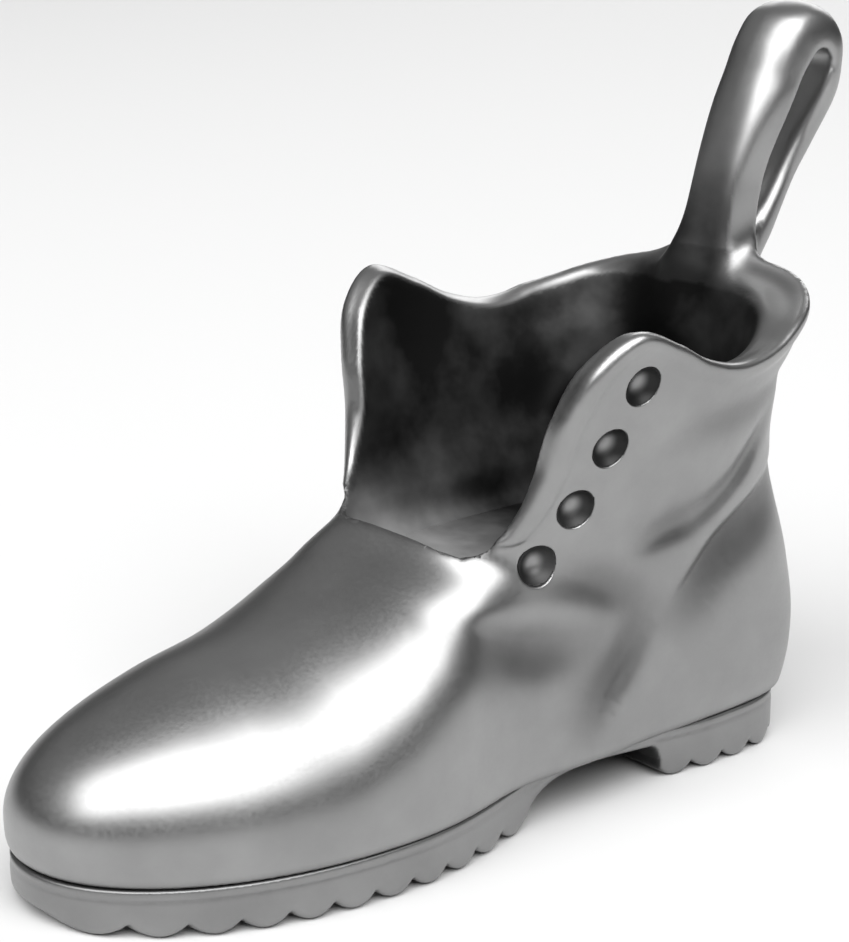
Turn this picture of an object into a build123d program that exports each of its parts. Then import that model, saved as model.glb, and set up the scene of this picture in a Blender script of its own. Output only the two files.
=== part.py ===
from build123d import *
import math
import os

# A cast-metal miniature of a lace-up work boot, about the size of a playing piece.
# Millimetres. The toe points along -Y, +Z is up, and the tread rests on Z = 0.
# Lengths along Y are counted from the middle of the 25 mm sole, and ORIGIN_SHIFT then
# moves every piece so that the origin is the bottom centre of the whole boot's box.

SOLE_LENGTH = 25.0
TOE_Y = -SOLE_LENGTH / 2
HEEL_Y = SOLE_LENGTH / 2
LOOP_BACK_Y = 17.05
ORIGIN_SHIFT = -(TOE_Y + LOOP_BACK_Y) / 2

# Sole outline seen from above.
BALL_Y = -3.3
BALL_HALF_WIDTH = 4.78
WAIST_Y = 4.3
WAIST_HALF_WIDTH = 3.37
SEAT_Y = 9.2
SEAT_HALF_WIDTH = 3.77
TOE_POWER = 2.13
SEAT_POWER = 3.0
TOE_SWING = 0.77

# Sole stack, measured down from the seam between the upper and the welt.
SEAM_Z_TOE = 1.40
SEAM_Z_HEEL = 1.64
WELT_THICKNESS = 0.25
MIDSOLE_THICKNESS = 0.27
TREAD_TOP_DEPTH = WELT_THICKNESS + MIDSOLE_THICKNESS
MIDSOLE_INSET = 0.05
OUTSOLE_INSET = 0.10

# Tread: rounded ribs that run from side to side, each with a narrow flat land.
RIB_PITCH = 1.25
RIB_DEPTH = 0.33
RIB_LAND = 0.36
FOREFOOT_RIBS = 11
FOREFOOT_END_Y = 1.42
HEEL_RIBS = 5
BREAST_Y = 6.85

# Underside of the shank: where the front tread steps up, arches and runs out.
SHANK_FOOT = (1.77, 0.72)
SHANK_MIDDLE = (2.6, 0.90)
SHANK_FEATHER_Y = 3.9
SHANK_FEATHER = 0.06

# Upper.
FOOT_BELLY_Z = 2.4
FOOT_LOW_Z = 0.6
FOOT_OVERHANG = 0.10

# Eyelets.
EYELET_RADIUS = 0.60
EYELET_DEPTH = 0.45
DIMPLE_SPHERE = 0.62
DIMPLE_DEPTH = 0.36
EYELET_CENTRES = [(5.62, 3.81, 13.19), (5.05, 3.18, 11.41), (4.50, 2.44, 9.65), (4.12, 1.50, 8.05)]
EYELET_NORMAL = (0.96, -0.12, -0.25)

# Pull loop.
LOOP_BASE_Z = 15.2
LOOP_WIDTH = 2.3
LOOP_EDGE_RADIUS = 0.38

INSOLE_THICKNESS = 0.45

# Cross-sections of the foot, from the toe back: position along Y, height of the ridge,
# and the power of the superellipse (2 is an ellipse, more is boxier).
FOOT_SECTIONS = [
    (-12.42, 3.10, 2.0),
    (-12.0, 3.80, 2.0),
    (-11.0, 4.55, 1.95),
    (-9.5, 5.30, 1.95),
    (-7.5, 6.00, 2.0),
    (-5.0, 6.60, 2.1),
    (-2.5, 7.30, 2.8),
    (-0.15, 8.60, 4.2),
    (3.0, 9.40, 4.3),
]

# Level sections of the shaft, from the seam up: height, back, front, half-width, power.
SHAFT_LEVELS = [
    (1.2, 12.25, 0.2, 3.65, 5.0),
    (1.8, 12.75, 0.1, 3.95, 5.0),
    (2.6, 13.10, 0.0, 4.20, 5.0),
    (4.0, 13.40, -0.5, 4.35, 4.6),
    (6.0, 13.20, -0.8, 4.40, 4.0),
    (8.0, 12.80, -1.0, 4.45, 3.4),
    (10.0, 12.45, -1.0, 4.80, 3.0),
    (12.0, 12.35, -0.9, 5.35, 3.0),
    (13.5, 12.50, -0.7, 5.80, 3.2),
    (15.0, 12.80, -0.4, 6.10, 3.3),
    (17.0, 13.10, -0.2, 6.30, 3.4),
]

# Level sections of the hollow: height, back, front, half-width, power.
HOLLOW_LEVELS = [
    (6.7, 10.2, 1.3, 2.5, 2.4),
    (7.4, 10.9, 0.6, 3.15, 2.5),
    (8.3, 11.3, 0.15, 3.50, 2.7),
    (9.5, 11.5, -0.3, 3.85, 2.7),
    (11.0, 11.4, -0.3, 4.30, 2.6),
    (12.5, 11.3, -0.2, 4.80, 2.6),
    (14.0, 11.6, 0.0, 5.20, 2.6),
    (17.5, 12.2, 0.2, 5.60, 2.7),
]

# Side view of the top line: throat, up the flap edge, over the flap, along the collar's
# dip and up to the root of the pull loop.
TOP_LINE = [
    (-0.2, 8.35),
    (0.7, 9.2),
    (1.35, 10.7),
    (1.65, 12.4),
    (2.2, 13.8),
    (3.4, 14.7),
    (4.9, 14.2),
    (6.3, 13.5),
    (7.8, 13.15),
    (9.4, 13.4),
    (10.6, 13.95),
    (11.8, 14.4),
    (12.8, 14.9),
    (14.5, 15.4),
]

# Side views of the pull loop's front, back and slot, from the root up.
LOOP_FRONT = [(11.95, 15.2), (12.17, 16.9), (12.80, 18.8), (13.85, 21.15)]
LOOP_CROWN = (15.45, 22.45)
LOOP_BACK = [(14.15, 15.2), (14.9, 16.6), (16.2, 18.6), (17.05, 20.85)]
SLOT_FRONT = [(13.2, 15.5), (13.42, 17.0), (14.2, 19.2), (14.95, 20.6), (15.9, 21.2)]
SLOT_BACK = [(13.4, 15.5), (14.6, 17.1), (15.75, 19.2), (16.3, 20.7), (15.9, 21.2)]


def signed_power(value, exponent):
    return math.copysign(abs(value) ** exponent, value)


def seam_height(y):
    """Height of the seam between upper and welt, which climbs slightly to the heel."""
    return SEAM_Z_TOE + (SEAM_Z_HEEL - SEAM_Z_TOE) * (y - TOE_Y) / SOLE_LENGTH


def half_width(y):
    """Half-width of the sole outline at a place along its length."""
    if y < BALL_Y:
        reach = min(1.0, (BALL_Y - y) / (BALL_Y - TOE_Y))
        return BALL_HALF_WIDTH * (1 - reach**TOE_POWER) ** (1 / TOE_POWER)
    if y < WAIST_Y:
        blend = (1 + math.cos(math.pi * (y - BALL_Y) / (WAIST_Y - BALL_Y))) / 2
        return WAIST_HALF_WIDTH + (BALL_HALF_WIDTH - WAIST_HALF_WIDTH) * blend
    if y < SEAT_Y:
        blend = (1 - math.cos(math.pi * (y - WAIST_Y) / (SEAT_Y - WAIST_Y))) / 2
        return WAIST_HALF_WIDTH + (SEAT_HALF_WIDTH - WAIST_HALF_WIDTH) * blend
    reach = min(1.0, (y - SEAT_Y) / (HEEL_Y - SEAT_Y))
    return SEAT_HALF_WIDTH * (1 - reach**SEAT_POWER) ** (1 / SEAT_POWER)


def centre_line(y):
    """Sideways place of the outline's middle: the toe swings inwards on a left boot."""
    if y < BALL_Y:
        return -TOE_SWING * ((BALL_Y - y) / (BALL_Y - TOE_Y)) ** 2
    return 0.0


def outline_places(count=22):
    """Places along Y, closer together at the toe and the heel."""
    middle = (TOE_Y + HEEL_Y) / 2
    return [middle - SOLE_LENGTH / 2 * math.cos(math.pi * k / count) for k in range(count + 1)]


def sole_outline(inset):
    """Closed face of the sole outline on the XY plane, drawn in by inset."""
    squeeze = 1 - 2 * inset / SOLE_LENGTH
    places = outline_places()
    right = [(centre_line(y) + half_width(y) * (1 - inset / BALL_HALF_WIDTH), y * squeeze) for y in places]
    left = [(centre_line(y) - half_width(y) * (1 - inset / BALL_HALF_WIDTH), y * squeeze) for y in places]
    points = right + left[-2:0:-1]
    return make_face(Spline(*points, periodic=True))


def side_prism(profile_lines, half_span=8.0):
    """Prism across the boot from a closed side-view outline drawn in Y and Z."""
    face = Plane.YZ * make_face(profile_lines)
    return extrude(face, amount=half_span, both=True)


def superellipse_level(height, back, front, width, power, count=32):
    """Closed level face, a superellipse with its front at the toe end."""
    middle = (back + front) / 2
    reach = (back - front) / 2
    points = []
    for k in range(count):
        angle = 2 * math.pi * (k + 0.5) / count
        x = width * signed_power(math.sin(angle), 2 / power)
        y = middle - reach * signed_power(math.cos(angle), 2 / power)
        points.append((x, y))
    return Plane.XY.offset(height) * make_face(Spline(*points, periodic=True))


def foot_section(y, ridge, power, count=32):
    """Closed upright face across the foot: round above the belly, steep below it."""
    middle = centre_line(y)
    width = half_width(y) + FOOT_OVERHANG
    points = []
    for k in range(count):
        angle = 2 * math.pi * (k + 0.5) / count
        across = math.sin(angle)
        up = math.cos(angle)
        if up > 0:
            x = middle + width * signed_power(across, 2 / power)
            z = FOOT_BELLY_Z + (ridge - FOOT_BELLY_Z) * up ** (2 / power)
        else:
            x = middle + width * signed_power(across, 0.5)
            z = FOOT_BELLY_Z - (FOOT_BELLY_Z - FOOT_LOW_Z) * (-up) ** 0.5
        points.append((x, y, z))
    return make_face(Spline(*points, periodic=True))


def above_seam():
    """Everything over the seam plane."""
    low, high = TOE_Y - 2, HEEL_Y + 8
    corners = [(low, seam_height(low)), (high, seam_height(high)), (high, 30), (low, 30)]
    return side_prism(Polyline(*corners, close=True), 12)


def over_top_line():
    """Everything in front of and above the top line, which is cut away."""
    first, last = TOP_LINE[0], TOP_LINE[-1]
    line = Spline(*TOP_LINE)
    rest = Polyline(last, (last[0] + 3, last[1]), (last[0] + 3, 30), (-6, 30), (-6, first[1]), first)
    return side_prism(line + rest, 12)


def hollow():
    return loft([superellipse_level(*level) for level in HOLLOW_LEVELS])


def loop_root():
    """The stub at the back of the collar that the two legs of the loop grow from."""
    corners = [(11.75, 12.6), (11.95, LOOP_BASE_Z), (14.15, LOOP_BASE_Z), (13.0, 12.2)]
    return side_prism(Polyline(*corners, close=True), LOOP_WIDTH / 2)


def eyelet_plane(centre, side):
    """Plane on the surface of a quarter, its Z pointing out of the boot."""
    x, y, z = centre
    nx, ny, nz = EYELET_NORMAL
    return Plane(origin=(side * x, y, z), x_dir=(0, 1, 0), z_dir=(side * nx, ny, nz))


def eyelet_plug(centre, side, height):
    """Disc that reaches from the bottom of an eyelet's pocket up to a given height."""
    disc = Cylinder(EYELET_RADIUS, height, align=(Align.CENTER, Align.CENTER, Align.MIN))
    return eyelet_plane(centre, side) * Pos(0, 0, -EYELET_DEPTH) * disc


def eyelet(centre, side):
    """Eyelet cup: a disc with a round dimple sunk in its face."""
    dimple = eyelet_plane(centre, side) * Pos(0, 0, DIMPLE_SPHERE - DIMPLE_DEPTH) * Sphere(DIMPLE_SPHERE)
    return eyelet_plug(centre, side, EYELET_DEPTH) - dimple


def upper():
    foot = loft([foot_section(*section) for section in FOOT_SECTIONS])
    shaft = loft([superellipse_level(*level) for level in SHAFT_LEVELS])
    body = (foot + shaft) & above_seam()
    body = body - over_top_line() + loop_root()
    body = body - hollow()
    for centre in EYELET_CENTRES:
        for side in (1, -1):
            body = body - eyelet_plug(centre, side, EYELET_DEPTH + 1)
    return body


def insole():
    """The floor of the hollow, as a shallow plate."""
    floor_z = HOLLOW_LEVELS[0][0]
    slab = Pos(0, 5, floor_z) * Box(20, 30, INSOLE_THICKNESS, align=(Align.CENTER, Align.CENTER, Align.MIN))
    return hollow() & slab


def pull_loop():
    """Closed strap loop: two leaning legs joined by a round top, with a slot between."""
    front_leg = Spline(*LOOP_FRONT)
    top = ThreePointArc(LOOP_FRONT[-1], LOOP_CROWN, LOOP_BACK[-1])
    back_leg = Spline(*LOOP_BACK)
    base = Line(LOOP_BACK[0], LOOP_FRONT[0])
    body = side_prism(front_leg + top + back_leg + base, LOOP_WIDTH / 2)
    side_edges = [edge for edge in body.edges() if abs(abs(edge.center().X) - LOOP_WIDTH / 2) < 0.01]
    above_root = [edge for edge in side_edges if edge.center().Z > LOOP_BASE_Z + 0.01]
    body = fillet(above_root, LOOP_EDGE_RADIUS)
    slot_outline = Spline(*SLOT_FRONT) + Spline(*SLOT_BACK) + Line(SLOT_FRONT[0], SLOT_BACK[0])
    return body - side_prism(slot_outline, LOOP_WIDTH)


def layer(inset, top_depth, bottom_depth):
    """A full-length layer of the sole between two depths under the seam."""
    low, high = TOE_Y - 1, HEEL_Y + 1
    corners = [
        (low, seam_height(low) - bottom_depth),
        (low, seam_height(low) - top_depth),
        (high, seam_height(high) - top_depth),
        (high, seam_height(high) - bottom_depth),
    ]
    return sole_column(inset) & side_prism(Polyline(*corners, close=True))


def sole_column(inset):
    return extrude(Pos(0, 0, -1) * sole_outline(inset), amount=4)


def welt():
    return layer(0, 0, WELT_THICKNESS)


def midsole():
    return layer(MIDSOLE_INSET, WELT_THICKNESS, TREAD_TOP_DEPTH)


def rib_outline(start_y, count):
    """Side view of a run of ribs from front to back, as arcs and short lands."""
    slope = (RIB_PITCH - RIB_LAND) / 2
    lines = []
    for k in range(count):
        front = start_y + k * RIB_PITCH
        back = front + RIB_PITCH
        down = [(front, RIB_DEPTH), (front + slope * 0.35, RIB_DEPTH * 0.3), (front + slope, 0)]
        up = [(back - slope, 0), (back - slope * 0.35, RIB_DEPTH * 0.3), (back, RIB_DEPTH)]
        lines += [ThreePointArc(*down), Line(down[2], up[0]), ThreePointArc(*up)]
    return lines


def forefoot_outsole():
    """Front tread, which runs out behind into a thin wedge under the shank."""
    start = FOREFOOT_END_Y - FOREFOOT_RIBS * RIB_PITCH
    front = TOE_Y - 1
    wedge_top = seam_height(SHANK_FEATHER_Y) - TREAD_TOP_DEPTH
    wedge_tip = (SHANK_FEATHER_Y, wedge_top - SHANK_FEATHER)
    lines = rib_outline(start, FOREFOOT_RIBS)
    lines.append(Line((FOREFOOT_END_Y, RIB_DEPTH), SHANK_FOOT))
    lines.append(ThreePointArc(SHANK_FOOT, SHANK_MIDDLE, wedge_tip))
    rest = [
        wedge_tip,
        (SHANK_FEATHER_Y, wedge_top),
        (front, seam_height(front) - TREAD_TOP_DEPTH),
        (front, RIB_DEPTH),
        (start, RIB_DEPTH),
    ]
    lines.append(Polyline(*rest))
    return sole_column(OUTSOLE_INSET) & side_prism(Curve() + lines)


def heel_outsole():
    """Heel block with its upright breast and its own run of ribs."""
    end = BREAST_Y + HEEL_RIBS * RIB_PITCH
    lines = rib_outline(BREAST_Y, HEEL_RIBS)
    rest = [
        (end, RIB_DEPTH),
        (end, seam_height(end) - TREAD_TOP_DEPTH),
        (BREAST_Y, seam_height(BREAST_Y) - TREAD_TOP_DEPTH),
        (BREAST_Y, RIB_DEPTH),
    ]
    lines.append(Polyline(*rest))
    return sole_column(OUTSOLE_INSET) & side_prism(Curve() + lines)


def build_pieces():
    pieces = {
        "upper": upper(),
        "insole": insole(),
        "pull_loop": pull_loop(),
        "welt": welt(),
        "midsole": midsole(),
        "forefoot_outsole": forefoot_outsole(),
        "heel_outsole": heel_outsole(),
    }
    for number, centre in enumerate(EYELET_CENTRES, start=1):
        pieces[f"eyelet_left_{number}"] = eyelet(centre, 1)
        pieces[f"eyelet_right_{number}"] = eyelet(centre, -1)
    return pieces


os.makedirs("parts", exist_ok=True)
for node, piece in build_pieces().items():
    export_step(Pos(0, ORIGIN_SHIFT, 0) * piece, f"parts/{node}.step")
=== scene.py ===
import math

import bmesh
import bpy
import numpy as np
import openvdb
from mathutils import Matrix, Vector

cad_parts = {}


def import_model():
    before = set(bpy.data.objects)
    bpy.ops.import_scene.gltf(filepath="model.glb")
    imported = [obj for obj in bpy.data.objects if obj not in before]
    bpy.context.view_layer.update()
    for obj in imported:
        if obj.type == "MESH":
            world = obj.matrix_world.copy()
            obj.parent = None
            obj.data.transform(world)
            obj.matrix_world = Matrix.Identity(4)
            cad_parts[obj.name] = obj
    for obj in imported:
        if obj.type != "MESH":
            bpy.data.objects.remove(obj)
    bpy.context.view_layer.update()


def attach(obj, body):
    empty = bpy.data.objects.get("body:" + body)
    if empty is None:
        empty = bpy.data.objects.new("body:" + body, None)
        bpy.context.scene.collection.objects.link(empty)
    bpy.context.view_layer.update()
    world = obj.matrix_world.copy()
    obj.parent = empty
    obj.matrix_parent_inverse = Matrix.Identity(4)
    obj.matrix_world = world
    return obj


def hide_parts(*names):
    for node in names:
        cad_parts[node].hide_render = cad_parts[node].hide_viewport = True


# A cast-metal miniature work boot. Each piece is the zero surface of a distance field, in
# millimetres: negative inside the metal. The toe points along -Y and the tread rests on Z = 0.
# Lengths along Y are counted from the middle of the 25 mm sole, as in the CAD source, and
# ORIGIN_SHIFT then moves every piece into the frame.

MM = 0.001
SOLE_LENGTH = 25.0
TOE_Y = -SOLE_LENGTH / 2
HEEL_OVERHANG = 0.45
HEEL_Y = SOLE_LENGTH / 2 + HEEL_OVERHANG
LOOP_BACK_Y = 17.05
ORIGIN_SHIFT = -(TOE_Y + LOOP_BACK_Y) / 2

# Sole outline seen from above.
BALL_Y = -3.3
BALL_HALF_WIDTH = 4.78
WAIST_Y = 4.3
WAIST_HALF_WIDTH = 3.37
SEAT_Y = 9.2
SEAT_HALF_WIDTH = 4.05
TOE_POWER = 2.13
SEAT_POWER = 3.4
TOE_SWING = 0.77

# Sole stack, measured down from the seam between the upper and the welt.
SEAM_Z_TOE = 1.40
SEAM_Z_HEEL = 1.64
WELT_THICKNESS = 0.25
MIDSOLE_THICKNESS = 0.27
TREAD_TOP_DEPTH = WELT_THICKNESS + MIDSOLE_THICKNESS
WELT_EDGE_BLEND = 0.2

# Softness of the tread's edge under the forefoot and under the heel.
TREAD_EDGE_BLEND = (0.5, 0.3)

# Fine line pressed between welt and midsole, and the place that parts the two outsoles.
LINE_DEPTH = 0.03
LINE_SPREAD = 0.1
SOLE_GAP_Y = 5.5

# Tread.
RIB_PITCH = 1.25
RIB_DEPTH = 0.33
FOREFOOT_RIBS = 11
FOREFOOT_END_Y = 1.42
HEEL_RIBS = 5
BREAST_Y = 6.85

# Foot: a rounded volume that is widest at the belly line.
FOOT_BELLY_Z = 2.4
FOOT_LOW_Z = 0.6
FOOT_OVERHANG = 0.10
FOOT_LOWER_POWER = 4.0
FOOT_BACK_Y = 4.5

# Ridge height over the belly line and power of the cross-section, by place along Y.
FOOT_RIDGE = [
    (-12.5, 3.90, 2.0),
    (-9.5, 3.92, 2.0),
    (-7.5, 4.05, 2.0),
    (-5.0, 4.27, 2.1),
    (-2.5, 4.95, 2.8),
    (-0.15, 5.95, 4.2),
    (3.0, 6.90, 4.3),
]

# Level sections of the shaft: height, back, front, half-width, power.
SHAFT_LEVELS = [
    (1.2, 12.90, 0.9, 3.95, 5.0),
    (1.8, 13.08, 0.8, 4.10, 5.0),
    (2.6, 13.22, 0.7, 4.25, 5.0),
    (4.0, 13.40, 0.5, 4.35, 4.6),
    (6.0, 13.20, 0.3, 4.40, 4.0),
    (8.0, 12.80, 0.2, 4.45, 3.4),
    (10.0, 12.45, -0.9, 4.80, 3.0),
    (12.0, 12.35, -0.9, 5.35, 3.0),
    (13.5, 12.50, -0.7, 5.80, 3.2),
    (15.0, 12.80, -0.4, 6.10, 3.3),
    (17.0, 13.10, -0.2, 6.30, 3.4),
]
FOOT_TO_SHAFT_BLEND = 2.2

# Level sections of the hollow: height, back, front, half-width, power behind, power in front.
HOLLOW_LEVELS = [
    (6.7, 10.2, 0.7, 2.5, 2.4, 3.0),
    (7.4, 10.9, 0.10, 3.10, 2.5, 5.0),
    (8.3, 11.3, -0.35, 3.35, 2.7, 6.0),
    (8.9, 11.4, -0.55, 3.60, 2.7, 5.0),
    (9.5, 11.5, -0.6, 3.88, 2.7, 4.0),
    (11.0, 11.4, -0.3, 4.30, 2.6, 3.0),
    (12.5, 11.3, -0.2, 4.80, 2.6, 2.7),
    (14.0, 11.6, 0.0, 5.20, 2.6, 2.7),
    (17.5, 12.2, 0.2, 5.60, 2.7, 2.7),
]
HOLLOW_FLOOR_Z = 6.7
HOLLOW_FLOOR_BLEND = 0.5
INSOLE_THICKNESS = 0.45

# The hollow stays this far inside the outer surface, except near the throat, where it opens.
THINNEST_WALL = 0.45
THROAT_OPENING = 3
THROAT_FADE_Y = (1, 4)
WALL_BLEND = 0.4

# On its far side the hollow is squarer and reaches further back, and the rim dips there.
FAR_SIDE_BACK = 0.7
FAR_SIDE_POWER = 3.5
FAR_SIDE_FADE_X = (-1.5, 2.5)
FAR_SIDE_FADE_Y = (4, 9)
FAR_RIM_DIP = 0.33
FAR_RIM_FADE_X = (0, 3)
FAR_RIM_FADE_Y = (9.2, 10.8)

# Side view of the top line, from the throat over the flap to the root of the loop.
TOP_LINE = [
    (-0.2, 8.35),
    (0.7, 9.2),
    (1.35, 10.7),
    (1.65, 12.4),
    (2.2, 13.8),
    (3.4, 14.7),
    (4.9, 14.2),
    (6.3, 13.5),
    (7.8, 13.15),
    (9.4, 13.4),
    (10.6, 13.95),
    (11.8, 14.4),
    (12.8, 14.9),
    (14.5, 15.4),
]

# Rolled bead along the top line, with its centre below the line and under the surface. It
# fades in over some heights, above the plain throat.
BEAD_RADIUS = 0.29
BEAD_DROP = 0.25
BEAD_SINK = 0.18
BEAD_FADE_Z = (8.3, 8.9)
BEAD_BLEND = 0.3

# Softness of the outer and the inner edge of the rim, and of both edges at the throat.
RIM_EDGE_BLEND = (0.35, 0.5)
THROAT_EDGE_BLEND = 0.2

# Pull loop: a strap that is narrower and flatter towards its foot, given by its side view.
LOOP_BASE_Z = 15.2
LOOP_WIDTH = 2.75
LOOP_WAIST_INSET = 0.38
LOOP_WAIST_FADE_Z = (17.0, 20.0)
LOOP_SWELL = 0.06
LOOP_EDGE_BLEND = (0.8, 2.0)
LOOP_EDGE_FADE_Z = (17.0, 20.5)
LOOP_ROOT_BLEND = (1.5, 3.0)
LOOP_ROOT_FADE_X = (-0.5, 1.2)
LOOP_SIDE = [
    (11.95, 15.2),
    (12.17, 16.9),
    (12.80, 18.8),
    (13.50, 20.45),
    (13.98, 21.42),
    (14.62, 22.18),
    (15.50, 22.44),
    (16.45, 22.14),
    (17.04, 21.40),
    (17.10, 20.27),
    (16.60, 18.60),
    (15.40, 16.60),
    (14.60, 15.20),
]
LOOP_ROOT = [(12.9, 12.8), (12.3, 13.2)]

# Slot: its front edge, the centre, radius and angles of its round top, its back edge, and how
# far its middle line leans back for each millimetre up.
SLOT_FRONT = [(13.25, 15.5), (13.55, 17.0), (14.3, 19.2), (14.97, 20.45), (15.30, 20.85)]
SLOT_TOP = ((15.68, 20.55), 0.48, 142, -15)
SLOT_BACK = [(16.14, 20.43), (15.75, 19.2), (14.65, 17.1), (13.45, 15.5)]
SLOT_LEAN = 0.47

# Softness of the slot's edge on the front leg and on the back leg.
SLOT_EDGE_BLEND = (0.4, 1.2)

# The back leg is slimmer and rounder than the front one, up to these heights.
BACK_LEG_INSET = 0.2
BACK_LEG_ROUNDING = 0.6
BACK_LEG_FADE_Z = (18.2, 20.6)

# Folds pressed into both sides, in side view from back to front: line, depth, spread above
# the line and spread below it.
FOLDS = [
    ([(10.8, 11.6), (9.4, 9.75), (8.7, 9.15), (7.4, 8.3)], 0.24, 0.5, 0.36),
    ([(9.0, 9.3), (7.0, 8.4), (6.2, 8.3), (4.2, 7.8)], 0.24, 0.65, 0.5),
    ([(12.4, 9.4), (9.8, 8.0), (8.5, 7.25), (7.66, 6.52), (5.9, 5.2)], 0.42, 0.45, 1.15),
    ([(6.2, 6.8), (5.17, 5.25), (4.6, 4.46), (3.95, 3.7), (3.3, 1.8)], 0.34, 1.1, 0.55),
    ([(6.1, 6.2), (4.2, 6.85), (3.2, 7.45), (1.2, 8.1)], 0.26, 0.7, 0.7),
    ([(4.2, 5.5), (1.6, 5.75), (0.3, 6.05), (-0.8, 6.45), (-2.4, 7.0)], 0.32, 0.6, 1.0),
    ([(12.9, 12.8), (8.6, 11.55), (6.66, 11.32), (4.4, 10.7)], 0.18, 0.55, 0.6),
]

# Depth of the far side's folds next to the near side's. Every fold runs out at its ends and
# towards the centre plane.
FAR_FOLDS = 0.7
FOLD_FADE_X = (1.0, 2.6)
FOLD_TAPER = 1.3

# Eyelets: blind round dimples, top to bottom.
EYELET_RADIUS = 0.60
EYELET_DEPTH = 0.42
DIMPLE_SPHERE = 0.66
DIMPLE_DEPTH = 0.38
EYELET_CENTRES = [(5.62, 3.81, 13.19), (5.05, 3.18, 11.41), (4.50, 2.44, 9.65), (4.12, 1.50, 8.05)]

# Half the size of the box in which an eyelet is meshed, and the reach of the finer mesh.
EYELET_REACH = 0.95

# Sampling. A field is first sampled in blocks of cells, then finely in the blocks that lie
# within NEAR_SURFACE blocks of the surface.
UPPER_CELL = 0.125
SOLE_CELL = 0.09
EYELET_CELL = 0.035
LOOKUP_STEP = 0.05
FOLD_STEP = 0.03
GRADIENT_STEP = 0.01
FAR_AWAY = 3.0
CREASE_COSINE = 0.75
BLOCK = 4
NEAR_SURFACE = 2.2

# Metals: brightness of the polished surface and its roughness.
UPPER_METAL = (0.33, 0.355)
# The hollow's metal is a darker copy of the upper's: partly patina, partly painted shade inside the boot.
HOLLOW_METAL = (0.25, 0.45)
SOLE_METAL = (0.28, 0.36)
EYELET_METAL = (0.33, 0.30)

# Studio: floor brightness, and azimuth, elevation, distance, width, height and radiance of
# each softbox, with lengths in metres.
FLOOR_BRIGHTNESS = 0.62
KEY_SOFTBOX = (48, 57, 0.6, 1.1, 0.56, 4.8)
BACK_SOFTBOX = (-147, 25, 0.6, 0.42, 0.3, 2.6)

# Camera.
LENS = 91.72
CAMERA_PLACE = (50.47, -43.885, 29.90)
CAMERA_TARGET = (0, -1.564, 10.076)


# ---------------------------------------------------------------- curves and tables

def spline_points(points, spacing=0.05):
    """Evenly spaced points on a smooth open curve through the given points."""
    knots = np.array(points, float)
    chord = np.concatenate([[0], np.cumsum(np.hypot(*np.diff(knots, axis=0).T))])
    rows = [(place, *knot) for place, knot in zip(chord, knots)]
    curve = smooth_table(rows)
    places = np.linspace(0, chord[-1], int(chord[-1] / spacing) + 2)
    return np.stack(curve(places), axis=1)


def smooth_table(rows, samples=1500):
    """Columns of a table as smooth functions of its first column."""
    rows = np.array(rows, float)
    place, values = rows[:, 0], rows[:, 1:]
    step = np.diff(place)[:, None]
    rise = np.diff(values, axis=0) / step
    inner_slope = (rise[1:] * step[:-1] + rise[:-1] * step[1:]) / (step[1:] + step[:-1])
    slope = np.vstack([rise[:1], inner_slope, rise[-1:]])
    dense = np.linspace(place[0], place[-1], samples)
    k = np.clip(np.searchsorted(place, dense) - 1, 0, len(step) - 1)
    t = (dense - place[k])[:, None] / step[k]
    start, end = values[k], values[k + 1]
    start_slope, end_slope = slope[k] * step[k], slope[k + 1] * step[k]
    curve = (
        start * (2 * t**3 - 3 * t**2 + 1)
        + start_slope * (t**3 - 2 * t**2 + t)
        + end * (3 * t**2 - 2 * t**3)
        + end_slope * (t**3 - t**2)
    )
    return lambda where: [np.interp(where, dense, column) for column in curve.T]


def arc_points(centre, radius, start, end, count=40):
    angles = np.radians(np.linspace(start, end, count))
    return np.stack([centre[0] + radius * np.cos(angles), centre[1] + radius * np.sin(angles)], axis=1)


def lookup(function, low, high, step):
    """A function of two coordinates as a table with straight lines between its entries."""
    u = np.arange(low[0], high[0] + step, step)
    v = np.arange(low[1], high[1] + step, step)
    table = function(*np.meshgrid(u, v, indexing="ij"))

    def at(a, b):
        i = np.clip((a - low[0]) / step, 0, len(u) - 1.001)
        j = np.clip((b - low[1]) / step, 0, len(v) - 1.001)
        i0, j0 = i.astype(int), j.astype(int)
        fi, fj = i - i0, j - j0
        near = table[i0, j0] * (1 - fi) + table[i0 + 1, j0] * fi
        far = table[i0, j0 + 1] * (1 - fi) + table[i0 + 1, j0 + 1] * fi
        return near * (1 - fj) + far * fj

    return at


def outline_distance(outline):
    """Signed distance to a closed outline, negative inside."""
    outline = np.array(outline, float)

    def distance(pu, pv):
        nearest = np.full(pu.shape, np.inf)
        inside = np.zeros(pu.shape, bool)
        for (au, av), (bu, bv) in zip(outline, np.roll(outline, -1, axis=0)):
            du, dv = bu - au, bv - av
            along = np.clip(((pu - au) * du + (pv - av) * dv) / max(du * du + dv * dv, 1e-12), 0, 1)
            nearest = np.minimum(nearest, (pu - au - along * du) ** 2 + (pv - av - along * dv) ** 2)
            if dv != 0:
                inside ^= ((av > pv) != (bv > pv)) & (pu < au + (pv - av) * du / dv)
        return np.where(inside, -np.sqrt(nearest), np.sqrt(nearest))

    return lookup(distance, outline.min(0) - FAR_AWAY, outline.max(0) + FAR_AWAY, LOOKUP_STEP)


# ---------------------------------------------------------------- field tools

def smooth_min(a, b, blend):
    """Union of two fields with a soft inside corner."""
    share = np.clip(1 - np.abs(a - b) / blend, 0, 1)
    return np.minimum(a, b) - blend * share**3 / 6


def smooth_max(a, b, blend):
    """Intersection of two fields with a soft outside edge."""
    return -smooth_min(-a, -b, blend)


def fade(value, start, end):
    """0 before start, 1 after end, smooth between."""
    t = np.clip((value - start) / (end - start), 0, 1)
    return t * t * (3 - 2 * t)


def between(ends, share):
    """The first of two values at share 0, the second at share 1."""
    return ends[0] + (ends[1] - ends[0]) * share


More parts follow.
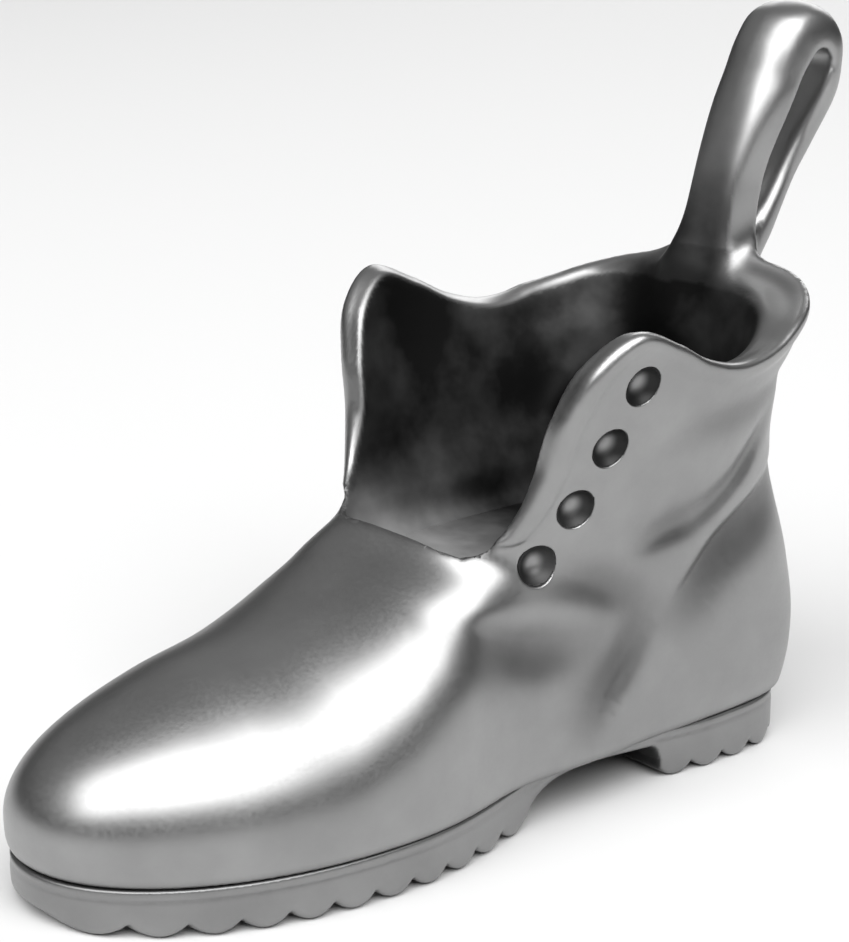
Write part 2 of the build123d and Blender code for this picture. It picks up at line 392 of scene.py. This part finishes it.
def gradient(field, points):
    """Slope of a field at points, by differences."""
    steps = np.eye(3) * GRADIENT_STEP
    return np.stack([(field(points + s) - field(points - s)) / (2 * GRADIENT_STEP) for s in steps], axis=1)


def as_distance(shape, points):
    """Turns a shape's level value into a distance in millimetres, near its surface."""
    value = shape(points)
    steps = np.eye(3) * GRADIENT_STEP
    slopes = np.stack([(shape(points + s) - value) / GRADIENT_STEP for s in steps], axis=1)
    return value / np.maximum(np.linalg.norm(slopes, axis=1), 0.05)


# ---------------------------------------------------------------- the foot, the shaft and the hollow

def seam_height(y):
    return SEAM_Z_TOE + (SEAM_Z_HEEL - SEAM_Z_TOE) * (y - TOE_Y) / SOLE_LENGTH


def half_width(y):
    """Half-width of the sole outline behind the ball, and of the widest line before it."""
    to_waist = (1 + np.cos(np.pi * np.clip((y - BALL_Y) / (WAIST_Y - BALL_Y), 0, 1))) / 2
    to_seat = (1 - np.cos(np.pi * np.clip((y - WAIST_Y) / (SEAT_Y - WAIST_Y), 0, 1))) / 2
    rise_to_ball = (BALL_HALF_WIDTH - WAIST_HALF_WIDTH) * to_waist
    rise_to_seat = (SEAT_HALF_WIDTH - WAIST_HALF_WIDTH) * to_seat
    return WAIST_HALF_WIDTH + rise_to_ball + rise_to_seat


def centre_line(y):
    """The toe swings inwards on a left boot."""
    return -TOE_SWING * (np.clip(BALL_Y - y, 0, None) / (BALL_Y - TOE_Y)) ** 2


def sole_outline(count=160):
    """Closed outline of the welt, as points."""
    places = (TOE_Y + HEEL_Y) / 2 - (HEEL_Y - TOE_Y) / 2 * np.cos(np.pi * np.arange(count + 1) / count)
    toe = np.clip((BALL_Y - places) / (BALL_Y - TOE_Y), 0, 1)
    seat = np.clip((places - SEAT_Y) / (HEEL_Y - SEAT_Y), 0, 1)
    ends = (1 - toe**TOE_POWER) ** (1 / TOE_POWER) * (1 - seat**SEAT_POWER) ** (1 / SEAT_POWER)
    width = half_width(places) * ends
    middle = centre_line(places)
    right = np.stack([middle + width, places], axis=1)
    left = np.stack([middle - width, places], axis=1)
    return np.vstack([right, left[-2:0:-1]])


foot_ridge = smooth_table(FOOT_RIDGE)
shaft_level = smooth_table(SHAFT_LEVELS)
hollow_level = smooth_table(HOLLOW_LEVELS)


def foot_shape(points):
    """Level value of the foot: a superellipse across, closed by another at the toe."""
    x, y, z = points.T
    ridge, power = foot_ridge(y)
    across = np.abs(x - centre_line(y)) / (half_width(y) + FOOT_OVERHANG)
    toe = np.clip((BALL_Y - y) / (BALL_Y - TOE_Y + FOOT_OVERHANG), 0, None)
    reach = (across**TOE_POWER + toe**TOE_POWER) ** (1 / TOE_POWER)
    up = np.clip(z - FOOT_BELLY_Z, 0, None) / ridge
    down = np.clip(FOOT_BELLY_Z - z, 0, None) / (FOOT_BELLY_Z - FOOT_LOW_Z)
    above = (reach**power + up**power) ** (1 / power)
    below = (reach**FOOT_LOWER_POWER + down**FOOT_LOWER_POWER) ** (1 / FOOT_LOWER_POWER)
    return np.where(z > FOOT_BELLY_Z, above, below) - 1


def shaft_shape(points):
    """Level value of the shaft, whose level sections are superellipses."""
    x, y, z = points.T
    back, front, width, power = shaft_level(z)
    along = np.abs(y - (back + front) / 2) / ((back - front) / 2)
    return ((np.abs(x) / width) ** power + along**power) ** (1 / power) - 1


def hollow_shape(points):
    """Level value of the hollow, squarer at the throat and at the far corner of the collar."""
    x, y, z = points.T
    back, front, width, back_power, front_power = hollow_level(z)
    far = fade(-x, *FAR_SIDE_FADE_X) * fade(y, *FAR_SIDE_FADE_Y)
    along = (y - (back + front) / 2) / ((back - front) / 2 + FAR_SIDE_BACK / 2 * far)
    power = np.where(along > 0, back_power + FAR_SIDE_POWER * far, front_power)
    return ((np.abs(x) / width) ** power + np.abs(along) ** power) ** (1 / power) - 1


def dent(fold, y, z):
    """How deep one fold is at places in side view: deepest along its line, nothing at its ends."""
    corners, depth, above, below = fold
    line = spline_points(corners, 0.5)
    starts, ends = np.array(line[:-1]), np.array(line[1:])
    lengths = np.hypot(*(ends - starts).T)
    nearest = np.full(y.shape, np.inf)
    share = np.zeros(y.shape)
    side = np.zeros(y.shape)
    for k, ((ay, az), (by, bz), length) in enumerate(zip(starts, ends, lengths)):
        dy, dz = (by - ay) / length, (bz - az) / length
        along = np.clip((y - ay) * dy + (z - az) * dz, 0, length)
        apart = np.hypot(y - ay - along * dy, z - az - along * dz)
        closer = apart < nearest
        nearest = np.where(closer, apart, nearest)
        share = np.where(closer, (lengths[:k].sum() + along) / lengths.sum(), share)
        side = np.where(closer, dy * (z - az) - dz * (y - ay), side)
    spread = np.where(side < 0, above, below)
    taper = np.sin(np.pi * np.clip(share, 0, 1)) ** FOLD_TAPER
    return depth * np.exp(-((nearest / spread) ** 2)) * taper


def sum_of_dents(y, z):
    return sum(dent(fold, y, z) for fold in FOLDS)


all_dents = lookup(sum_of_dents, (-4, 1), (14, 14), FOLD_STEP)


def body_field(points):
    """Outer surface of the foot and the shaft, before anything is cut."""
    foot = smooth_max(as_distance(foot_shape, points), points[:, 1] - FOOT_BACK_Y, 2.0)
    shaft = as_distance(shaft_shape, points)
    x, y, z = points.T
    folds = all_dents(y, z) * (fade(x, *FOLD_FADE_X) + FAR_FOLDS * fade(-x, *FOLD_FADE_X))
    return smooth_min(foot, shaft, FOOT_TO_SHAFT_BLEND) + folds


def hollow_field(points):
    """The space inside the boot, above its floor."""
    walls = as_distance(hollow_shape, points)
    return smooth_max(walls, HOLLOW_FLOOR_Z - points[:, 2], HOLLOW_FLOOR_BLEND)


# ---------------------------------------------------------------- the rim and the loop

def cut_outline():
    """Side view of everything that is cut away above the top line."""
    line = spline_points(TOP_LINE)
    back, top, front = TOP_LINE[-1][0] + 6, 26, TOE_Y - 4
    last, first = TOP_LINE[-1], TOP_LINE[0]
    behind = [(back, last[1] + 1), (back, top)]
    before = [(front, top), (first[0] - 1.5, first[1] + 2.6)]
    return np.vstack([line, behind, before])


def loop_outline():
    """Side view of the strap, as if it were solid."""
    return np.vstack([spline_points(LOOP_SIDE), LOOP_ROOT])


def slot_outline():
    return np.vstack([spline_points(SLOT_FRONT)[:-1], arc_points(*SLOT_TOP), spline_points(SLOT_BACK)[1:]])


cut_distance = outline_distance(cut_outline())
loop_distance = outline_distance(loop_outline())
slot_distance = outline_distance(slot_outline())
sole_distance = outline_distance(sole_outline())


def below_top_line(x, y, z):
    """Distance below the top line, which dips a little behind the far flap."""
    dip = FAR_RIM_DIP * fade(-x, *FAR_RIM_FADE_X) * fade(y, *FAR_RIM_FADE_Y)
    return cut_distance(y, z + dip)


def behind_slot(y, z):
    """0 on the front leg of the loop and 1 on its back leg."""
    slot_middle = SLOT_FRONT[0][0] + SLOT_LEAN * (z - SLOT_FRONT[0][1])
    return fade(y - slot_middle, -0.3, 0.6)


def loop_field(points):
    """The strap with its slot: flat-sided below, rounder at its top and on its back leg."""
    x, y, z = points.T
    side = loop_distance(y, z) - LOOP_SWELL
    back_leg = behind_slot(y, z) * (1 - fade(z, *BACK_LEG_FADE_Z))
    inset = LOOP_WAIST_INSET * (1 - fade(z, *LOOP_WAIST_FADE_Z)) + BACK_LEG_INSET * back_leg
    rounding = between(LOOP_EDGE_BLEND, fade(z, *LOOP_EDGE_FADE_Z))
    rounding = between((rounding, LOOP_EDGE_BLEND[1]), BACK_LEG_ROUNDING * back_leg)
    strap = smooth_max(side, np.abs(x) - LOOP_WIDTH / 2 + inset, rounding)
    return smooth_max(strap, -slot_distance(y, z), between(SLOT_EDGE_BLEND, back_leg))


def seated_eyelets():
    """Centre and outward direction of every eyelet on the surface, the left side first."""
    left = np.array(EYELET_CENTRES)
    centres = settle(body_field, np.vstack([left, left * (-1, 1, 1)]), 1.0)
    normals = gradient(body_field, centres)
    normals /= np.linalg.norm(normals, axis=1, keepdims=True)
    return list(zip(centres, normals))


def settle(field, points, reach):
    """Moves points onto the zero surface, none further than reach."""
    moved = points.copy()
    for _ in range(3):
        slope = gradient(field, moved)
        square = np.maximum((slope**2).sum(1), 0.05)
        moved -= (field(moved) / square)[:, None] * slope
    offset = moved - points
    length = np.linalg.norm(offset, axis=1)
    return points + offset * np.minimum(1, reach / np.maximum(length, 1e-9))[:, None]


EYELETS = seated_eyelets()


def across_and_out(points, centre, normal):
    """Distance from an eyelet's axis, and height over its plane."""
    offset = points - centre
    out = offset @ normal
    across = np.linalg.norm(offset - np.outer(out, normal), axis=1)
    return across, out


def pocket_field(points, centre, normal):
    """The round pocket that an eyelet sits in."""
    across, out = across_and_out(points, centre, normal)
    return np.maximum(across - EYELET_RADIUS, -EYELET_DEPTH - out)


def dimple_field(points, centre, normal):
    middle = centre + normal * (DIMPLE_SPHERE - DIMPLE_DEPTH)
    return np.linalg.norm(points - middle, axis=1) - DIMPLE_SPHERE


def casting_field(points):
    """Upper and loop in one: shell, rolled rim, strap and eyelet pockets."""
    x, y, z = points.T
    outer = body_field(points)
    rim_depth = -below_top_line(x, y, z)
    bead_size = fade(z, *BEAD_FADE_Z)
    outer_blend, inner_blend = (between((THROAT_EDGE_BLEND, k), bead_size) for k in RIM_EDGE_BLEND)
    shell = smooth_max(outer, rim_depth, outer_blend)
    bead = np.hypot(rim_depth + BEAD_DROP, outer + BEAD_SINK) - BEAD_RADIUS
    shell = smooth_min(shell, bead + (1 - bead_size) * BEAD_RADIUS * 1.5, BEAD_BLEND)
    wall = outer + THINNEST_WALL - THROAT_OPENING * (1 - fade(y, *THROAT_FADE_Y))
    hollow = smooth_max(hollow_field(points), wall, WALL_BLEND)
    shell = smooth_max(shell, -hollow, inner_blend)
    root_blend = between(LOOP_ROOT_BLEND, fade(-x, *LOOP_ROOT_FADE_X))
    body = smooth_min(shell, loop_field(points), root_blend)
    for centre, normal in EYELETS:
        body = smooth_max(body, -pocket_field(points, centre, normal), 0.09)
    return smooth_max(body, seam_height(y) - z, 0.25)


def insole_field(points):
    """A plate on the floor of the hollow."""
    x, y, z = points.T
    top = HOLLOW_FLOOR_Z + INSOLE_THICKNESS
    walls = as_distance(hollow_shape, points)
    plate = smooth_max(walls, z - top, 0.1)
    return smooth_max(plate, HOLLOW_FLOOR_Z - z, 0.05)


def eyelet_field(points, centre, normal):
    """Cup that fills an eyelet's pocket, with its dimple."""
    cup = smooth_max(pocket_field(points, centre, normal), body_field(points), 0.05)
    return smooth_max(cup, -dimple_field(points, centre, normal), 0.05)


# ---------------------------------------------------------------- the sole

def rib_outline(start_y, count):
    """Side view of a run of ribs: round crests with sharp valleys, front to back."""
    across = np.linspace(0, 1, 14)[:-1]
    crest = RIB_DEPTH * (1 - np.sin(np.pi * across) ** 0.85)
    return np.vstack([np.stack([start_y + (k + across) * RIB_PITCH, crest], axis=1) for k in range(count)])


def forefoot_outline():
    """Side view of the front tread, with its step up to the shank."""
    start = FOREFOOT_END_Y - FOREFOOT_RIBS * RIB_PITCH
    ribs = rib_outline(start, FOREFOOT_RIBS)
    shank = spline_points([(1.5, 0.28), (1.77, 0.62), (2.3, 0.86), (3.1, 1.0), (4.3, 1.07)])
    top = [(4.3, 3), (TOE_Y - 1, 3), (TOE_Y - 1, RIB_DEPTH)]
    return np.vstack([ribs, shank, top])


def heel_outline():
    """Side view of the heel block, with a slightly hollow breast."""
    end = BREAST_Y + HEEL_RIBS * RIB_PITCH
    ribs = rib_outline(BREAST_Y, HEEL_RIBS)
    breast = [(BREAST_Y - 0.35, 3), (BREAST_Y - 0.35, 1.3), (BREAST_Y - 0.12, 0.95), (BREAST_Y, 0.6)]
    return np.vstack([ribs, [(end, RIB_DEPTH), (end, 3)], breast])


forefoot_side = outline_distance(forefoot_outline())
heel_side = outline_distance(heel_outline())


def sole_field(points):
    """Welt, midsole and tread in one."""
    x, y, z = points.T
    depth = seam_height(y) - z
    wall = sole_distance(x, y) + LINE_DEPTH * np.exp(-(((depth - WELT_THICKNESS) / LINE_SPREAD) ** 2))
    under = np.minimum(forefoot_side(y, z), heel_side(y, z))
    under = smooth_min(under, depth - TREAD_TOP_DEPTH, 0.1)
    edge = between(TREAD_EDGE_BLEND, fade(y, 3, 6))
    block = smooth_max(wall, under, edge)
    return smooth_max(block, -depth, WELT_EDGE_BLEND)


# ---------------------------------------------------------------- meshing

def sample_field(field, low, high, cell):
    """Field values on a grid, worked out finely only near the surface."""
    low = np.array(low, float)
    blocks = np.ceil((np.array(high) - low) / (cell * BLOCK)).astype(int)
    axes = [low[k] + (np.arange(blocks[k]) + 0.5) * cell * BLOCK for k in range(3)]
    centres = np.stack(np.meshgrid(*axes, indexing="ij"), axis=-1).reshape(-1, 3)
    coarse = field(centres).reshape(blocks)
    near = np.abs(coarse) < cell * BLOCK * NEAR_SURFACE
    fine = np.where(coarse > 0, FAR_AWAY, -FAR_AWAY)
    for axis in range(3):
        near = np.repeat(near, BLOCK, axis=axis)
        fine = np.repeat(fine, BLOCK, axis=axis)
    index = np.argwhere(near)
    fine[near] = field(low + (index + 0.5) * cell)
    return fine.astype(np.float32)


def surface_of(field, low, high, cell):
    """Points and faces of a field's zero surface."""
    grid = openvdb.FloatGrid(FAR_AWAY)
    grid.copyFromArray(sample_field(field, low, high, cell))
    points, quads = grid.convertToQuads(isovalue=0.0)
    points = np.array(low) + (np.array(points, float) + 0.5) * cell
    points = settle(field, points, cell)
    return points, np.array(quads)[:, ::-1].tolist()


def refine(field, points, faces, spots, reach):
    """Splits the quads near some spots in nine and settles them, so small edges stay crisp."""
    mesh = bmesh.new()
    corners = [mesh.verts.new(point) for point in points]
    for face in faces:
        mesh.faces.new([corners[k] for k in face])
    middles = np.array([(edge.verts[0].co + edge.verts[1].co) / 2 for edge in mesh.edges])
    near = np.zeros(len(middles), bool)
    for spot in spots:
        near |= np.linalg.norm(middles - spot, axis=1) < reach
    chosen = [edge for edge, wanted in zip(mesh.edges, near) if wanted]
    bmesh.ops.subdivide_edges(mesh, edges=chosen, cuts=2, use_grid_fill=True)
    mesh.verts.index_update()
    points = np.array([vert.co for vert in mesh.verts])
    faces = [[vert.index for vert in face.verts] for face in mesh.faces]
    edges = np.array([[vert.index for vert in edge.verts] for edge in mesh.edges])
    mesh.free()
    moving = np.zeros(len(points), bool)
    for spot in spots:
        moving |= np.linalg.norm(points - spot, axis=1) < reach
    for _ in range(4):
        total = np.zeros_like(points)
        count = np.zeros(len(points))
        for a, b in ((0, 1), (1, 0)):
            np.add.at(total, edges[:, a], points[edges[:, b]])
            np.add.at(count, edges[:, a], 1)
        mean = total / count[:, None]
        points[moving] = settle(field, (points[moving] + mean[moving]) / 2, 0.1)
    return points, faces


def part_of(points, faces, planes):
    """The part of a closed surface over every plane, closed again by flat caps."""
    mesh = bmesh.new()
    corners = [mesh.verts.new(point) for point in points]
    for face in faces:
        mesh.faces.new([corners[k] for k in face])
    for place, up in planes:
        everything = mesh.verts[:] + mesh.edges[:] + mesh.faces[:]
        plane = {"plane_co": place, "plane_no": up, "clear_inner": True}
        bmesh.ops.bisect_plane(mesh, geom=everything, dist=1e-4, **plane)
        rim = [edge for edge in mesh.edges if edge.is_boundary]
        caps = bmesh.ops.holes_fill(mesh, edges=rim, sides=0)["faces"]
        bmesh.ops.triangulate(mesh, faces=caps)
    bmesh.ops.recalc_face_normals(mesh, faces=mesh.faces[:])
    mesh.verts.index_update()
    points = np.array([vert.co for vert in mesh.verts])
    faces = [[vert.index for vert in face.verts] for face in mesh.faces]
    mesh.free()
    return points, faces


def new_piece(name, points, faces, normals, darkness):
    """Mesh object with the field's own normals, so flat caps meet round walls in a crisp edge."""
    mesh = bpy.data.meshes.new(name)
    mesh.from_pydata((points + (0, ORIGIN_SHIFT, 0)) * MM, [], faces)
    mesh.shade_smooth()
    corners = np.concatenate([np.array(face) for face in faces])
    sizes = [len(face) for face in faces]
    flat = np.repeat(np.array([polygon.normal for polygon in mesh.polygons]), sizes, axis=0)
    agreeing = (flat * normals[corners]).sum(axis=1) > CREASE_COSINE
    mesh.normals_split_custom_set(np.where(agreeing[:, None], normals[corners], flat))
    # Values per point: patina with painted shade in the hollow, painted shade elsewhere, and a pale patch
    # of painted light on the hollow's floor.
    add_values(mesh, "patina_and_painted_shade", darkness(points, normals))
    add_values(mesh, "painted_light_patch", painted_light_patch(points))
    piece = bpy.data.objects.new(name, mesh)
    bpy.context.scene.collection.objects.link(piece)
    return piece


def unit_normals(field, points):
    slope = gradient(field, points)
    return slope / np.linalg.norm(slope, axis=1, keepdims=True)


def add_values(mesh, name, values):
    """Stores a number from 0 to 1 at each point of a mesh."""
    attribute = mesh.attributes.new(name, "FLOAT", "POINT")
    attribute.data.foreach_set("value", values.astype(np.float32))


def painted_light_patch(points):
    """Painted light: a pale patch at the bottom of the hollow, behind the vamp, where light falls in."""
    x, y, z = points.T
    inside = 1 - fade(as_distance(hollow_shape, points), 0.04, 0.12)
    low = (1 - fade(z, 7.0, 9.6)) * (1 - fade(y, 2.0, 6.5))
    return inside * low * fade(below_top_line(x, y, z), 0.02, 0.2)


def casting_patina_and_painted_shade(points, normals):
    """The hollow is dark, partly patina and partly painted shade; the folds, dimples, the foot of the
    loop's front and the sole seam are dark with painted shade.
    """
    x, y, z = points.T
    walls = as_distance(hollow_shape, points)
    below_rim = fade(below_top_line(x, y, z), 0.0, 0.22)
    # The hollow's walls: patina together with painted shade, kept off the rim.
    values = (1 - fade(walls, 0.05, 0.25)) * (1 - fade(z, LOOP_BASE_Z - 1, LOOP_BASE_Z + 3))
    values *= 1 - (1 - below_rim) * fade(z, 9.0, 9.6)
    # Painted shade on the front leg of the loop, on faces turned towards the toe, near its foot.
    front = fade(-normals[:, 1], 0.35, 0.75) * (1 - behind_slot(y, z))
    front *= fade(y, 11, 11.5) * fade(z, 13.0, 14.0) * (1 - fade(z, 16, 20))
    # Painted shade in the folds, stronger on the near side.
    sides = 1.5 * fade(x, *FOLD_FADE_X) + 0.5 * fade(-x, *FOLD_FADE_X)
    folds = all_dents(y, z) * sides * fade(walls, 0.05, 0.25)
    # Painted shade along the seam with the welt.
    seam = 0.3 * (1 - fade(z - seam_height(y), 0.05, 0.3))
    values = np.maximum.reduce([values, 0.9 * front, folds, seam])
    # Painted shade in the eyelet pockets.
    for centre, normal in EYELETS:
        across, out = across_and_out(points, centre, normal)
        sunk = (across < EYELET_RADIUS + 0.02) * fade(-out, 0.01, 0.12) * (out > -EYELET_DEPTH - 0.02)
        values = np.maximum(values, sunk)
    return values


def sole_painted_shade(points, normals):
    """The seam under the upper and the front of the heel are dark: painted shade in the seam, painted
    shadow on the heel's breast.
    """
    x, y, z = points.T
    seam = 0.35 * (1 - fade(seam_height(y) - z, 0.03, 0.14))
    # Painted shadow on the breast, on faces turned towards the toe.
    breast = 0.9 * fade(-normals[:, 1], 0.4, 0.8) * fade(y, BREAST_Y - 0.6, BREAST_Y - 0.4)
    return np.maximum(seam, breast * (y < BREAST_Y + 0.3))


def eyelet_painted_shade(points, normals):
    """Painted shade: dark round the edge of the dimple, lighter at its bottom, whatever the normals."""
    nearest = np.argmin([np.linalg.norm(points[:1] - centre) for centre, _ in EYELETS])
    across, out = across_and_out(points, *EYELETS[nearest])
    return 0.15 + 0.8 * fade(across, 0.1, 0.42)


def finish_piece(piece, node, material):
    piece.data.materials.append(material)
    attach(piece, "root")
    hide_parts(node)


def field_piece(name, field, low, high, cell, darkness):
    points, faces = surface_of(field, low, high, cell)
    return new_piece(name, points, faces, unit_normals(field, points), darkness)


# ---------------------------------------------------------------- materials

def add_node(tree, kind, **values):
    """New node with its inputs set by name."""
    node = tree.nodes.new(kind)
    for name, value in values.items():
        node.inputs[name.replace("_", " ")].default_value = value
    return node


def grey_ramp(tree, source, *stops):
    """Colour ramp of greys, given as place and brightness."""
    ramp = tree.nodes.new("ShaderNodeValToRGB")
    elements = ramp.color_ramp.elements
    while len(elements) < len(stops):
        elements.new(0.5)
    for element, (place, grey) in zip(elements, stops):
        element.position = place
        element.color = (grey, grey, grey, 1)
    tree.links.new(source, ramp.inputs["Fac"])
    return ramp.outputs["Color"]


def mix(tree, factor, first, second):
    """Mix of two colours: the first where the factor is 0, the second where it is 1."""
    node = tree.nodes.new("ShaderNodeMix")
    node.data_type = "RGBA"
    sockets = [socket for socket in node.inputs if socket.enabled]
    for socket, source in zip(sockets, (factor, first, second)):
        tree.links.new(source, socket)
    return [socket for socket in node.outputs if socket.enabled][0]


def point_value(tree, name):
    """A number that the mesh carries at each of its points."""
    node = tree.nodes.new("ShaderNodeAttribute")
    node.attribute_name = name
    return node.outputs["Fac"]


def cast_metal(name, polish, shine):
    """Satin cast metal: cloudy polish, fine casting grain, dark patina with painted shade in the hollow,
    painted shade in the folds, dimples and seams, and painted light as a pale patch on the hollow's floor.
    """
    material = bpy.data.materials.new(name)
    material.use_nodes = True
    tree = material.node_tree
    shader = tree.nodes["Principled BSDF"]
    place = tree.nodes.new("ShaderNodeTexCoord").outputs["Object"]
    clouds = add_node(tree, "ShaderNodeTexNoise", Scale=330.0, Detail=4.0, Roughness=0.55)
    grain = add_node(tree, "ShaderNodeTexNoise", Scale=9000.0, Detail=3.0, Roughness=0.6)
    for noise in (clouds, grain):
        tree.links.new(place, noise.inputs["Vector"])
    patina_and_painted_shade = point_value(tree, "patina_and_painted_shade")
    painted_light_mask = point_value(tree, "painted_light_patch")
    worn = grey_ramp(tree, clouds.outputs["Fac"], (0.35, polish * 0.92), (0.65, polish * 1.07))
    dark = grey_ramp(tree, clouds.outputs["Fac"], (0.40, 0.02), (0.68, 0.075))
    painted_light_colour = grey_ramp(tree, clouds.outputs["Fac"], (0.30, 0.09), (0.70, 0.24))
    # Dark colour where the mesh's shade value is high (patina in the hollow, painted shade elsewhere);
    # pale painted light where its light-patch value is high.
    colour = mix(tree, painted_light_mask, mix(tree, patina_and_painted_shade, worn, dark), painted_light_colour)
    tree.links.new(colour, shader.inputs["Base Color"])
    smooth = grey_ramp(tree, grain.outputs["Fac"], (0.3, shine - 0.03), (0.7, shine + 0.04))
    rough = grey_ramp(tree, clouds.outputs["Fac"], (0.35, 0.50), (0.65, 0.62))
    tree.links.new(mix(tree, patina_and_painted_shade, smooth, rough), shader.inputs["Roughness"])
    bare = grey_ramp(tree, painted_light_mask, (0.0, 1.0), (0.8, 0.0))
    tree.links.new(bare, shader.inputs["Metallic"])
    bump = add_node(tree, "ShaderNodeBump", Strength=0.08, Distance=0.00001)
    tree.links.new(grain.outputs["Fac"], bump.inputs["Height"])
    tree.links.new(bump.outputs["Normal"], shader.inputs["Normal"])
    return material


# ---------------------------------------------------------------- the scene

def add_casting(metal, dull_metal):
    """Upper and loop are meshed as one, then parted at the foot of the loop."""
    points, faces = surface_of(casting_field, (-7, -13.1, 1.0), (7, 17.6, 23), UPPER_CELL)
    points, faces = refine(casting_field, points, faces, [centre for centre, _ in EYELETS], EYELET_REACH)
    foot = (0, 0, LOOP_BASE_Z)
    for node, plane in (("upper", (foot, (0, 0, -1))), ("pull_loop", (foot, (0, 0, 1)))):
        part_points, part_faces = part_of(points, faces, [plane])
        normals = unit_normals(casting_field, part_points)
        piece = new_piece("boot_" + node, part_points, part_faces, normals, casting_patina_and_painted_shade)
        finish_piece(piece, node, metal)
    box = ((-4, -0.5, 6.4), (4, 12.2, 7.6))
    insole = field_piece("boot_insole", insole_field, *box, SOLE_CELL, casting_patina_and_painted_shade)
    finish_piece(insole, "insole", dull_metal)


def add_sole(metal):
    """The sole is meshed as one, then parted along its layers and between tread and heel."""
    points, faces = surface_of(sole_field, (-5.4, -13, -0.3), (5.4, 13.3, 2.0), SOLE_CELL)
    slope = (SEAM_Z_HEEL - SEAM_Z_TOE) / SOLE_LENGTH
    up, down = (0, -slope, 1), (0, slope, -1)
    welt_plane = (0, 0, seam_height(0) - WELT_THICKNESS)
    tread_plane = (0, 0, seam_height(0) - TREAD_TOP_DEPTH)
    gap = (0, SOLE_GAP_Y, 0)
    parts = {
        "welt": [(welt_plane, up)],
        "midsole": [(welt_plane, down), (tread_plane, up)],
        "forefoot_outsole": [(tread_plane, down), (gap, (0, -1, 0))],
        "heel_outsole": [(tread_plane, down), (gap, (0, 1, 0))],
    }
    for node, planes in parts.items():
        part_points, part_faces = part_of(points, faces, planes)
        normals = unit_normals(sole_field, part_points)
        piece = new_piece("boot_" + node, part_points, part_faces, normals, sole_painted_shade)
        finish_piece(piece, node, metal)


def add_eyelets(metal):
    names = [f"eyelet_{side}_{k}" for side in ("left", "right") for k in (1, 2, 3, 4)]
    for node, (centre, normal) in zip(names, EYELETS):

        def field(points):
            return eyelet_field(points, centre, normal)

        box = (centre - EYELET_REACH, centre + EYELET_REACH)
        piece = field_piece("boot_" + node, field, *box, EYELET_CELL, eyelet_painted_shade)
        finish_piece(piece, node, metal)


def make_floor():
    bpy.ops.mesh.primitive_plane_add(size=4)
    floor = bpy.context.object
    floor.name = "floor"
    material = bpy.data.materials.new("pale_floor")
    material.use_nodes = True
    shader = material.node_tree.nodes["Principled BSDF"]
    shader.inputs["Base Color"].default_value = (*[FLOOR_BRIGHTNESS] * 3, 1)
    shader.inputs["Roughness"].default_value = 0.9
    floor.data.materials.append(material)


def make_world():
    """Dim studio walls that are darkest at the horizon."""
    world = bpy.data.worlds.new("studio")
    bpy.context.scene.world = world
    world.use_nodes = True
    tree = world.node_tree
    where = tree.nodes.new("ShaderNodeTexCoord")
    axes = tree.nodes.new("ShaderNodeSeparateXYZ")
    ramp = tree.nodes.new("ShaderNodeValToRGB")
    tree.links.new(where.outputs["Generated"], axes.inputs[0])
    tree.links.new(axes.outputs["Z"], ramp.inputs["Fac"])
    tree.links.new(ramp.outputs["Color"], tree.nodes["Background"].inputs["Color"])
    ramp.color_ramp.elements[0].position = 0.20
    ramp.color_ramp.elements[0].color = (0.015, 0.015, 0.015, 1)
    ramp.color_ramp.elements[1].position = 0.42
    ramp.color_ramp.elements[1].color = (0.28, 0.28, 0.28, 1)


def softbox(name, azimuth, elevation, distance, width, height, radiance):
    """Soft area light aimed at the boot. Azimuth 0 is in front of the toe, 90 on the left."""
    light = bpy.data.lights.new(name, "AREA")
    light.shape = "RECTANGLE"
    light.size = width
    light.size_y = height
    light.energy = radiance * math.pi * width * height
    lamp = bpy.data.objects.new(name, light)
    turn, rise = math.radians(azimuth), math.radians(elevation)
    out = Vector((math.sin(turn) * math.cos(rise), -math.cos(turn) * math.cos(rise), math.sin(rise)))
    lamp.location = out * distance
    lamp.rotation_mode = "QUATERNION"
    lamp.rotation_quaternion = out.to_track_quat("Z", "Y")
    bpy.context.scene.collection.objects.link(lamp)


def make_lights():
    make_world()
    softbox("key_softbox", *KEY_SOFTBOX)
    softbox("back_softbox", *BACK_SOFTBOX)


def make_camera():
    bpy.context.scene.view_settings.view_transform = "Standard"
    camera = bpy.data.objects.new("camera", bpy.data.cameras.new("camera"))
    bpy.context.scene.collection.objects.link(camera)
    bpy.context.scene.camera = camera
    camera.data.lens = LENS
    camera.data.clip_start = 0.001
    camera.data.clip_end = 20
    camera.location = Vector(CAMERA_PLACE) * MM
    target = Vector(CAMERA_TARGET) * MM
    camera.rotation_mode = "QUATERNION"
    camera.rotation_quaternion = (camera.location - target).to_track_quat("Z", "Y")


def main():
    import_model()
    upper_metal = cast_metal("cast_upper_metal", *UPPER_METAL)
    hollow_metal = cast_metal("cast_hollow_metal", *HOLLOW_METAL)
    add_casting(upper_metal, hollow_metal)
    add_sole(cast_metal("cast_sole_metal", *SOLE_METAL))
    add_eyelets(cast_metal("cast_eyelet_metal", *EYELET_METAL))
    make_floor()
    make_lights()
    make_camera()


main()
